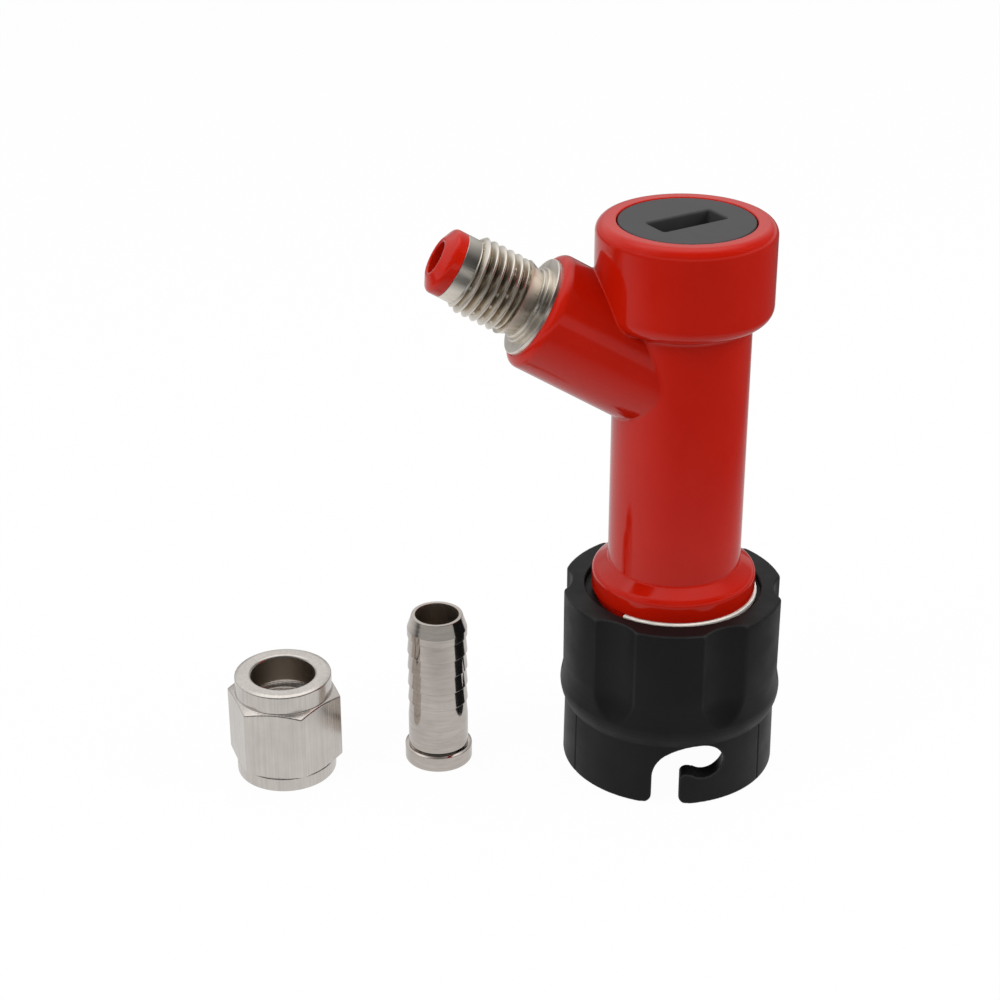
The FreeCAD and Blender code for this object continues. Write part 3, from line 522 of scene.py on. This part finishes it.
def build_collar():
    """The black collar with six finger scallops, three bayonet slots and its mould's parting lines."""
    block = Block(COLLAR_LOW, COLLAR_HIGH, pitch=0.18)
    collar = block.revolved(collar_outline())

    first_scallop, scallops, scallop_foot = -72, 6, 16.9
    scallop_middle, scallop_radius = 20.95, 6.2
    hollow = np.full(collar.shape, MARGIN, np.float32)
    for turn in range(scallops):
        outwards, sideways = block.turned_axes(first_scallop + 360 // scallops * turn)
        below = np.minimum(block.z - scallop_foot, 0)
        reach = np.sqrt((outwards - scallop_middle) ** 2 + sideways ** 2 + below ** 2) - scallop_radius
        hollow = np.minimum(hollow, reach)
    collar = without(collar, hollow, radius=0.25)

    groove_floor = 15.45 - 0.015 * block.z
    groove_top = 9.7
    for direction in (-161.3, -42.6, 77.0):
        outwards, sideways = block.turned_axes(direction)
        groove = np.maximum((np.abs(sideways) - block.radius + groove_floor) * 0.7, block.z - groove_top)
        collar = np.maximum(collar, -np.maximum(groove, -outwards))

    first_slot, slot_count, above_slots = -102, 3, 12.5
    low = block.z[0, 0] < above_slots
    slots = np.full(collar.shape, MARGIN, np.float32)
    for turn in range(slot_count):
        outwards, sideways = block.turned_axes(first_slot + 360 // slot_count * turn)
        slot = drawn(bayonet_outline(), sideways, block.z[:, :, low])
        slots[:, :, low] = np.minimum(slots[:, :, low], np.maximum(slot, -outwards))
    return block.skin("bayonet_collar", without(collar, slots, radius=0.22), mark_edges=True)


def build_nut():
    """The swivel nut: a hexagon between two round ends, threaded from below."""
    block = Block(NUT_LOW, NUT_HIGH, pitch=0.13, middle=NUT_MIDDLE)
    height = NUT_HIGH[2]
    half_flat = 7.4
    corner = half_flat / math.cos(math.pi / 6)
    foot_ring, foot_neck, top_ring, top_face = 7.33, 7.13, 7.1, 6.5
    hexagon_foot, hexagon_top, chamfer = 2.3, 13.2, 0.55
    nut = block.revolved(rounded(
        (BEHIND_AXIS, 0.0),
        (foot_ring, 0.0, 0.3),
        (foot_ring, hexagon_foot - 0.2, 0.1),
        (foot_neck, hexagon_foot),
        (corner, hexagon_foot + chamfer),
        (corner, hexagon_top - chamfer),
        (top_ring, hexagon_top),
        (top_ring, height - 0.2, 0.1),
        (top_face, height),
        (BEHIND_AXIS, height),
    ))
    first_flat = 15.4
    flats = [np.abs(block.turned_axes(first_flat + 60 * turn)[0]) for turn in range(3)]
    prism = np.maximum(np.maximum(flats[0], flats[1]), flats[2]) - half_flat
    nut = without(nut, -prism, radius=0.1)

    thread_crest, thread_depth, thread_top, bore_top, hose_bore = 5.1, 0.45, 11.2, 11.6, 4.68
    bore = block.revolved(rounded(
        (BEHIND_AXIS, -BEYOND),
        (thread_crest + 0.3 + BEYOND, -BEYOND),
        (thread_crest, 0.3),
        (thread_crest, bore_top),
        (hose_bore, bore_top + thread_crest - hose_bore),
        (hose_bore, height - 0.3),
        (hose_bore + 0.3 + BEYOND, height + BEYOND),
        (BEHIND_AXIS, height + BEYOND),
    ))
    ridge = thread_height(block.z, np.arctan2(block.y, block.x))
    groove = block.radius - thread_crest - thread_depth * (1 - ridge)
    groove = np.maximum(groove * 0.75, block.z - thread_top)
    return block.skin("hexagon_nut", without(without(nut, bore, radius=0.15), groove, radius=0.05))


def build_tail():
    """The barbed hose tail with its flange and five barbs."""
    shank, barb_root, bore, mouth, tip = 4.43, 4.2, 3.19, 4.35, 3.75
    flange, flange_edge, flange_top = 5.0, 4.65, 2.5
    undercut, undercut_top = shank - 0.12, 2.7
    top_barb, barb_pitch = 21.05, 2.69
    height = TAIL_HIGH[2]
    barbs = []
    for ledge in top_barb - barb_pitch * np.arange(5):
        barbs = [(barb_root, ledge - 0.2), (shank, ledge), *barbs]
    outline = rounded(
        (mouth, 0.0),
        (flange, 0.0, 0.25),
        (flange, 2.36, 0.08),
        (flange_edge, flange_top),
        (undercut, flange_top),
        (undercut, undercut_top),
        (shank, undercut_top + 0.2),
        (shank, 7.4),
        *barbs,
        (shank, height - 2.1, 0.3),
        (tip, height, 0.12),
        (bore, height, 0.12),
        (bore, mouth - bore),
        edge=0.05,
    )
    return skin_grid("barbed_tail", about_axis(outline[:, :1], full_circle(176), outline[:, 1:], TAIL_MIDDLE))


def build_sleeve():
    """The turned metal sleeve with its helical flare thread."""
    disc, hub, step, neck, crest = 7.15, 5.6, 5.15, 4.7, 5.5
    face = DISC_SEAT + 0.9
    thread_foot, thread_end, thread_depth, run_out = 27.5, 35.1, 0.8, 0.75
    thread_line = [(crest, along) for along in np.arange(thread_foot, thread_end, 0.07)]
    outline = rounded(
        (LINER_RADIUS, DISC_SEAT - ROOT_LENGTH),
        (ROOT_RADIUS, DISC_SEAT - ROOT_LENGTH),
        (ROOT_RADIUS, DISC_SEAT),
        (disc, DISC_SEAT),
        (disc, face, 0.15),
        (hub, face),
        (hub, face + 0.5, 0.12),
        (step, face + 0.5),
        (step, face + 1.0, 0.12),
        (neck, face + 1.0),
        *thread_line,
        (neck, thread_end),
        (neck, SLEEVE_END + 0.1),
        (LINER_RADIUS, SLEEVE_END + 0.1),
        edge=0.06,
    )
    radius, along = outline[:, :1], outline[:, 1:]
    angles = full_circle(192)
    on_thread = (along >= thread_foot) & (along < thread_end) & (radius > neck + 0.2)
    cut_back = np.clip(np.minimum(along - thread_foot, thread_end - along), 0, run_out)
    crests = np.minimum(neck + thread_height(along - 0.05, angles) * thread_depth, neck + 0.05 + cut_back)
    radius = np.where(on_thread, crests, radius)
    side = np.cross(ARM_ALONG, ARM_UP)
    points = (ARM_ALONG * along[..., None] + ARM_UP * (radius * np.cos(angles))[..., None]
              + side * (radius * np.sin(angles))[..., None] + np.array([0, 0, ARM_HEIGHT]))
    return skin_grid("threaded_sleeve", points)


def build_ring():
    """The open retaining ring, a rounded strip of spring steel that thins at its two ends."""
    outer, first_end, sweep, end_size = 12.2, -136.8, 285, 0.7
    outline = rounded((NECK_RADIUS, RING_FOOT), (outer, RING_FOOT), (outer, RING_TOP),
                      (NECK_RADIUS, RING_TOP), edge=0.2)
    angles = np.radians(np.linspace(first_end, first_end + sweep, 220))
    size = np.ones(len(angles))
    size[[0, -1]] = end_size
    middle = outline.mean(axis=0)
    section = middle + (outline - middle)[:, None, :] * size[None, :, None]
    return skin_grid("snap_ring", about_axis(section[..., 0], angles, section[..., 1]), closed_along=False)


def build_spring():
    """The round-wire compression spring above the plunger."""
    wire, turns, radius = 0.42, 4, 4.2
    angles = np.linspace(0, FULL_TURN * turns, 40 * turns + 1)
    rise = np.linspace(SPRING_LOW[2] + wire, SPRING_HIGH[2] - wire, len(angles))
    around = full_circle(14)[:, None]
    points = about_axis(radius + wire * np.cos(around), angles, rise + wire * np.sin(around))
    return skin_grid("round_wire_spring", points, closed_along=False)


class Nodes:
    """Adds shader nodes to a tree; the helpers return outputs that other nodes can take."""

    def __init__(self, tree):
        self.tree = tree

    def add(self, kind, inputs=(), **settings):
        node = self.tree.nodes.new(kind)
        for key, value in settings.items():
            setattr(node, key, value)
        for key, value in dict(inputs).items():
            if isinstance(value, bpy.types.NodeSocket):
                self.tree.links.new(value, node.inputs[key])
            else:
                node.inputs[key].default_value = value
        return node

    def ranged(self, value, low, high, out_low=0.0, out_high=1.0):
        """A value moved from one range to another, and held at the ends."""
        return self.add("ShaderNodeMapRange", {
            0: value, "From Min": low, "From Max": high, "To Min": out_low, "To Max": out_high,
        }).outputs[0]

    def maths(self, operation, *values):
        return self.add("ShaderNodeMath", dict(enumerate(values)), operation=operation).outputs[0]

    def length(self, vector):
        return self.add("ShaderNodeVectorMath", {0: vector}, operation="LENGTH").outputs["Value"]


class Finish(Nodes):
    """A material whose nodes are added one by one around its principled shader."""

    def __init__(self, name, **sockets):
        self.material = bpy.data.materials.new(name)
        self.material.use_nodes = True
        super().__init__(self.material.node_tree)
        self.shader = self.tree.nodes["Principled BSDF"]
        for socket, value in sockets.items():
            self.shader.inputs[socket.replace("_", " ")].default_value = value
        self.place = self.add("ShaderNodeTexCoord").outputs["Object"]

    def stretched(self, stretch):
        """The place, stretched per axis; a larger number makes finer detail along that axis."""
        return self.add("ShaderNodeMapping", {"Vector": self.place, "Scale": stretch}).outputs[0]

    def noise(self, per_metre, detail=2.0, vector=None, roughness=0.5):
        return self.add("ShaderNodeTexNoise", {
            "Vector": vector or self.place, "Scale": per_metre, "Detail": detail, "Roughness": roughness,
        }).outputs["Fac"]

    def mixed(self, share, one, other):
        """A colour between two others."""
        return self.add("ShaderNodeMix", {0: share, 6: one, 7: other}, data_type="RGBA").outputs[2]

    def specks(self, per_metre, size, share):
        """Small round dots in a few of the cells of a grid of cells."""
        cells = self.add("ShaderNodeTexVoronoi", {"Vector": self.place, "Scale": per_metre}).outputs
        lot = self.add("ShaderNodeSeparateColor", {0: cells["Color"]}).outputs[0]
        dot = self.maths("LESS_THAN", cells["Distance"], size)
        return self.maths("MULTIPLY", dot, self.maths("GREATER_THAN", lot, 1 - share))

    def bump(self, height, depth_mm):
        """Relief of the given depth."""
        relief = self.add("ShaderNodeBump", {"Height": height, "Strength": 1.0, "Distance": depth_mm * MM})
        self.link("Normal", relief.outputs[0])

    def link(self, socket, value):
        self.tree.links.new(value, self.shader.inputs[socket])


def red_plastic():
    """Glossy moulded plastic, slightly uneven, with a few specks of dust."""
    deep, bright, dust = (0.34, 0.0048, 0.0004, 1), (0.364, 0.0072, 0.0012, 1), (0.62, 0.45, 0.42, 1)
    red = Finish("red_plastic", IOR=1.47, Specular_IOR_Level=0.4)
    colour = red.mixed(red.ranged(red.noise(90, detail=3), 0.3, 0.7), deep, bright)
    red.link("Base Color", red.mixed(red.specks(330, 0.045, 0.035), colour, dust))
    red.link("Roughness", red.ranged(red.noise(160, detail=4), 0.3, 0.75, 0.08, 0.14))
    red.bump(red.noise(420, detail=2), 0.012)
    return red.material


def black_plastic():
    """Satin moulded nylon, near black; where edges are marked, it is lighter along them, partly wear and
    partly painted highlight.
    """
    deep, bright = (0.0044, 0.0043, 0.0045, 1), (0.0058, 0.0056, 0.0059, 1)
    edge_wear_and_highlight, dust = (0.022, 0.021, 0.021, 1), (0.12, 0.12, 0.12, 1)
    black = Finish("black_plastic", IOR=1.5, Specular_IOR_Level=0.18)
    cloud = black.noise(120, detail=4)
    colour = black.mixed(black.ranged(cloud, 0.35, 0.7), deep, bright)
    edge = black.add("ShaderNodeAttribute", attribute_name="edge").outputs["Fac"]
    # partly wear and partly painted highlight: sharply turning convex edges are lightened towards a grey
    worn_and_lit_edges = black.maths("MULTIPLY", black.ranged(edge, 1.5, 4.0), black.ranged(cloud, 0.3, 0.6, 0.3, 1.0))
    colour = black.mixed(worn_and_lit_edges, colour, edge_wear_and_highlight)
    black.link("Base Color", black.mixed(black.specks(420, 0.04, 0.03), colour, dust))
    black.link("Roughness", black.ranged(black.noise(300, detail=5), 0.3, 0.7, 0.42, 0.52))
    black.bump(black.noise(2600, detail=3), 0.006)
    return black.material


def grey_plastic():
    """Satin dark grey plastic of the cap."""
    deep, bright, dust = (0.032, 0.0305, 0.032, 1), (0.038, 0.0362, 0.038, 1), (0.2, 0.2, 0.2, 1)
    grey = Finish("grey_plastic", IOR=1.5, Specular_IOR_Level=0.3)
    cloud = grey.noise(240, detail=5)
    colour = grey.mixed(grey.ranged(cloud, 0.35, 0.68), deep, bright)
    grey.link("Base Color", grey.mixed(grey.specks(600, 0.05, 0.04), colour, dust))
    grey.link("Roughness", grey.ranged(cloud, 0.3, 0.7, 0.42, 0.52))
    grey.bump(grey.noise(3000, detail=3), 0.008)
    return grey.material


def rubber():
    """Food-grade rubber, dark and dull."""
    deep, bright = (0.008, 0.008, 0.008, 1), (0.02, 0.02, 0.02, 1)
    seal = Finish("seal_rubber", Specular_IOR_Level=0.3)
    cloud = seal.noise(500, detail=4)
    seal.link("Base Color", seal.mixed(cloud, deep, bright))
    seal.link("Roughness", seal.ranged(cloud, 0.3, 0.7, 0.55, 0.75))
    seal.bump(seal.noise(2000, detail=2), 0.01)
    return seal.material


def nickel(name, tint, brushing, dull, relief=0.002, bore=None, root_shade=None, metallic=1.0):
    """Plated metal with fine marks, which brushing stretches along an axis; dull is its range of roughness.

    A bore (middle, radius, colour) is rougher inside and painted that darker colour there as shade; the
    colour for hollows is painted shade, laid in where the surface is least pointy.
    """
    darkening, bore_roughness, fully_shaded, unshaded = 0.82, 0.45, 0.47, 0.505
    metal = Finish(name, Metallic=metallic, IOR=1.5)
    marks = metal.noise(1.0, detail=4, vector=metal.stretched(brushing), roughness=0.6)
    stain = metal.maths("MULTIPLY", metal.noise(350, detail=4), 0.5)
    darker = tuple(darkening * part for part in tint)
    share = metal.ranged(metal.maths("ADD", marks, stain), 0.55, 0.95)
    colour = metal.mixed(share, (*darker, 1), (*tint, 1))
    rough = metal.ranged(marks, 0.3, 0.7, *dull)
    # painted shade: hollows such as thread roots are darkened towards a brownish colour where pointiness is
    # low
    if root_shade:
        pointiness = metal.add("ShaderNodeNewGeometry").outputs["Pointiness"]
        colour = metal.mixed(metal.ranged(pointiness, fully_shaded, unshaded, 1.0, 0.0), colour, (*root_shade, 1))
    # painted shade: inside the bore's radius the colour is swapped for a darker one
    if bore:
        middle, radius, inner = bore
        from_axis = metal.add("ShaderNodeMapping", {
            "Vector": metal.place, "Location": (*(-MM * middle), 0), "Scale": (1, 1, 0),
        }).outputs[0]
        inside = metal.maths("LESS_THAN", metal.length(from_axis), radius * MM)
        colour = metal.mixed(inside, colour, (*inner, 1))
        rough = metal.maths("MAXIMUM", rough, metal.maths("MULTIPLY", inside, bore_roughness))
    metal.link("Base Color", colour)
    metal.link("Roughness", rough)
    metal.bump(marks, relief)
    return metal.material


def place_piece(piece, body, slot, material, *nodes):
    """Gives a modelled piece its finish and lets it ride in place of its CAD nodes."""
    piece.data.materials.append(material)
    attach(piece, body)
    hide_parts(*nodes)


def dress_node(node, material):
    """Gives a CAD node that stays its finish."""
    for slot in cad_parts[node].material_slots:
        slot.material = material


def build_camera():
    """The camera of the photograph."""
    camera = bpy.data.cameras.new("camera")
    camera.lens = 79.57
    camera.sensor_width = 36.0
    camera.clip_start = 0.01
    made = bpy.data.objects.new("camera", camera)
    made.location = Vector((-59.47, -278.69, 183.08)) * MM
    made.rotation_euler = [math.radians(angle) for angle in (63.532, 0.0, -6.96)]
    bpy.context.scene.collection.objects.link(made)
    bpy.context.scene.camera = made


def build_lamps():
    """Soft rectangular lamps that point at the middle of the object and don't show in reflections."""
    lamps = (
        ("left_softbox", (-0.55, -0.25, 0.45), (0.35, 0.5), 3.7),
        ("right_softbox", (0.55, -0.1, 0.35), (0.3, 0.5), 3.2),
        ("front_fill", (-0.1, -0.8, 0.5), (0.9, 0.5), 1.0),
        ("top_fill", (0.0, 0.1, 0.8), (0.6, 0.6), 3.2),
    )
    object_middle = Vector((-0.012, 0.0, 0.045))
    for name, place, size, power in lamps:
        lamp = bpy.data.lights.new(name, "AREA")
        lamp.shape = "RECTANGLE"
        lamp.size, lamp.size_y = size
        lamp.energy = power
        made = bpy.data.objects.new(name, lamp)
        made.location = place
        made.rotation_euler = (object_middle - Vector(place)).to_track_quat("-Z", "Y").to_euler()
        made.visible_glossy = False
        bpy.context.scene.collection.objects.link(made)


def build_floor():
    """A white floor that keeps a faint shadow.

    Reflections see it bright under and behind the object. It dims towards the front and both sides, sooner
    to the right than to the left.
    """
    reach, full_white = 2.0, 0.97
    to_right, to_left = 1.2, -0.3
    near, far, near_glow, far_glow = 0.03, 0.14, 0.75, 0.12
    mesh = bpy.data.meshes.new("floor")
    corners = [(-reach, -reach, 0), (reach, -reach, 0), (reach, reach, 0), (-reach, reach, 0)]
    mesh.from_pydata(corners, [], [(0, 1, 2, 3)])
    floor = bpy.data.objects.new("floor", mesh)
    bpy.context.scene.collection.objects.link(floor)
    paint = Finish("floor_white", Base_Color=(0.62, 0.62, 0.62, 1), Roughness=0.9, Specular_IOR_Level=0.0)
    ray = paint.add("ShaderNodeLightPath").outputs
    spot = paint.add("ShaderNodeSeparateXYZ", {0: paint.place}).outputs
    sideways = paint.maths("MAXIMUM", paint.maths("MULTIPLY", spot["X"], to_right),
                           paint.maths("MULTIPLY", spot["X"], to_left))
    in_front = paint.maths("MINIMUM", spot["Y"], 0.0)
    away = paint.length(paint.add("ShaderNodeCombineXYZ", {"X": sideways, "Y": in_front}).outputs[0])
    reflected = paint.maths("MULTIPLY", ray["Is Glossy Ray"],
                            paint.ranged(away, near, far, near_glow, far_glow))
    glow = paint.maths("ADD", reflected, paint.maths("ADD", ray["Is Camera Ray"], ray["Is Transmission Ray"]))
    emission = paint.add("ShaderNodeEmission", {"Color": (1, 1, 1, 1), "Strength": glow})
    shown = paint.maths("ADD", paint.maths("MULTIPLY", ray["Is Camera Ray"], full_white),
                        paint.maths("ADD", ray["Is Glossy Ray"], ray["Is Transmission Ray"]))
    mix = paint.add("ShaderNodeMixShader", {0: shown, 1: paint.shader.outputs[0], 2: emission.outputs[0]})
    paint.tree.links.new(mix.outputs[0], paint.tree.nodes["Material Output"].inputs["Surface"])
    mesh.materials.append(paint.material)


def build_world():
    """White for the camera and an even light for surfaces.

    Reflections see it bright behind the object and overhead, dim in front, dimmer towards the right, and
    with a glow along the horizon.
    """
    even_light, seen_white = 0.42, 1.0
    world = bpy.data.worlds.new("studio")
    world.use_nodes = True
    nodes = Nodes(world.node_tree)
    ray = nodes.add("ShaderNodeLightPath").outputs
    toward = nodes.add("ShaderNodeSeparateXYZ", {
        0: nodes.add("ShaderNodeTexCoord").outputs["Generated"],
    }).outputs

    behind = nodes.maths("MULTIPLY", nodes.ranged(toward["Y"], -0.4, 0.45, 0.08, 0.85),
                         nodes.ranged(toward["Z"], 0.1, 0.4, 0.35, 1.0))
    overhead = nodes.maths("MULTIPLY", nodes.ranged(toward["Y"], -0.4, 0.2, 0.0, 1.3),
                           nodes.ranged(toward["Z"], 0.6, 0.85, 0.0, 1.0))
    rightwards = nodes.ranged(toward["X"], 0.3, 0.75, 1.0, 0.3)
    sky = nodes.maths("MULTIPLY", nodes.maths("MAXIMUM", behind, overhead), rightwards)
    horizon = nodes.ranged(toward["Z"], 0.17, 0.3, 0.5, 0.0)
    studio = nodes.maths("MAXIMUM", sky, horizon)

    lit = nodes.add("ShaderNodeMix", {0: ray["Is Glossy Ray"], 2: even_light, 3: studio}).outputs[0]
    seen = nodes.maths("MAXIMUM", ray["Is Camera Ray"], ray["Is Transmission Ray"])
    strength = nodes.add("ShaderNodeMix", {0: seen, 2: lit, 3: seen_white}).outputs[0]
    background = world.node_tree.nodes["Background"]
    world.node_tree.links.new(strength, background.inputs["Strength"])
    background.inputs["Color"].default_value = (1, 1, 1, 1)
    bpy.context.scene.world = world


build_camera()
build_world()
build_floor()
build_lamps()

red = red_plastic()
black = black_plastic()
grey = grey_plastic()
# its brownish colour for the hollows is painted shade in the thread roots
plated = nickel("plated_steel", (0.93, 0.87, 0.78), (120, 120, 120), dull=(0.22, 0.34),
                root_shade=(0.3, 0.23, 0.15))
# the bore colour below is painted shade inside the nut's bore
nut_metal = nickel("nickel_nut", (0.74, 0.69, 0.645), (2600, 2600, 90), dull=(0.14, 0.26), relief=0.001,
                   bore=(NUT_MIDDLE, 4.72, (0.32, 0.275, 0.22)))
# the bore colour below is painted shade inside the tail's bore
tail_metal = nickel("nickel_tail", (0.61, 0.555, 0.51), (300, 300, 2400), dull=(0.07, 0.12), relief=0.0006,
                    bore=(TAIL_MIDDLE, 3.23, (0.5, 0.44, 0.37)))
steel = nickel("spring_steel", (0.97, 0.93, 0.85), (300, 300, 300), dull=(0.3, 0.4), metallic=0.35)
seal = rubber()

place_piece(build_body(), "main", "red_plastic", red, "valve_body")
place_piece(build_cap(), "cap", "grey_plastic", grey, "top_cap")
place_piece(build_collar(), "collar", "black_plastic", black, "locking_collar")
place_piece(build_sleeve(), "main", "plated_steel", plated, "flare_sleeve")
place_piece(build_ring(), "main", "spring_steel", steel, "retaining_ring")
place_piece(build_nut(), "nut", "nickel", nut_metal, "swivel_nut")
place_piece(build_tail(), "tail", "nickel", tail_metal, "hose_tail")
spring = build_spring()
place_piece(spring, "main", "spring_steel", steel, "plunger_spring")
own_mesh(spring)
dress_node("post_socket", black)
dress_node("plunger", grey)
for node in ("cap_gasket", "socket_seal", "plunger_seal"):
    dress_node(node, seal)

bpy.context.scene.view_settings.view_transform = "Standard"
